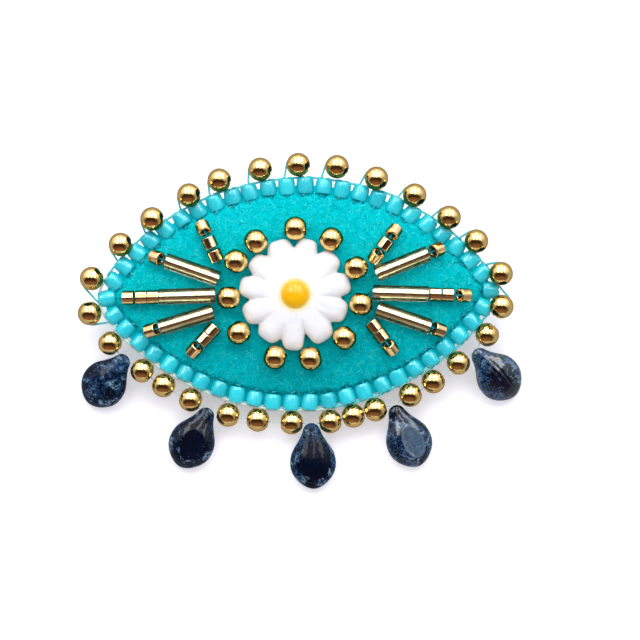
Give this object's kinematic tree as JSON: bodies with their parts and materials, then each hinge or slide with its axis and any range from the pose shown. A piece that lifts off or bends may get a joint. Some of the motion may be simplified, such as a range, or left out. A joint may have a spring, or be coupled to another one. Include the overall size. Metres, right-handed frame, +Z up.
{
  "type": "beaded eye brooch",
  "caption": "Eye-shaped felt brooch edged with turquoise seed beads, with a carved daisy, gold round and tube beads, and dark glass drops along the lower edge.",
  "frame": {"origin": "centre of the resting footprint's box, on the surface the brooch lies on", "axes": "+X along the eye, to the right as seen from the front; +Y towards the upper edge with the lash beads; +Z up from the surface, out of the front"},
  "size_m": [0.0476, 0.0356, 0.0094],
  "materials": {
    "felt": "matte",
    "edge_glass": "satin",
    "shell": "polished",
    "enamel": "gloss",
    "gold": "polished",
    "gold_tube": "gloss",
    "thread": "satin",
    "drop_glass": "gloss",
    "pin_steel": "satin"
  },
  "bodies": {
    "root": {"felt_base": "felt", "edge_beads": "edge_glass", "flower": "shell", "flower_centre": "enamel", "iris_bead_01": "gold", "iris_bead_02": "gold", "iris_bead_03": "gold", "iris_bead_04": "gold", "iris_bead_05": "gold", "iris_bead_06": "gold", "iris_bead_07": "gold", "iris_bead_08": "gold", "iris_bead_09": "gold", "iris_bead_10": "gold", "iris_bead_11": "gold", "bugle_1": "gold_tube", "bugle_2": "gold_tube", "bugle_3": "gold_tube", "bugle_4": "gold_tube", "bugle_5": "gold_tube", "bugle_6": "gold_tube", "cylinder_beads_left": "gold_tube", "cylinder_beads_right": "gold_tube", "ray_threads": "thread", "lash_bead_01": "gold", "lash_bead_02": "gold", "lash_bead_03": "gold", "lash_bead_04": "gold", "lash_bead_05": "gold", "lash_bead_06": "gold", "lash_bead_07": "gold", "lash_bead_08": "gold", "lash_bead_09": "gold", "lash_bead_10": "gold", "lash_bead_11": "gold", "lash_bead_12": "gold", "lash_bead_13": "gold", "lash_bead_14": "gold", "lash_bead_15": "gold", "fringe_beads": "gold", "fringe_thread": "thread", "drop_1": "drop_glass", "drop_2": "drop_glass", "drop_3": "drop_glass", "drop_4": "drop_glass", "drop_5": "drop_glass", "pin_back": "pin_steel"}
  },
  "joints": []
}
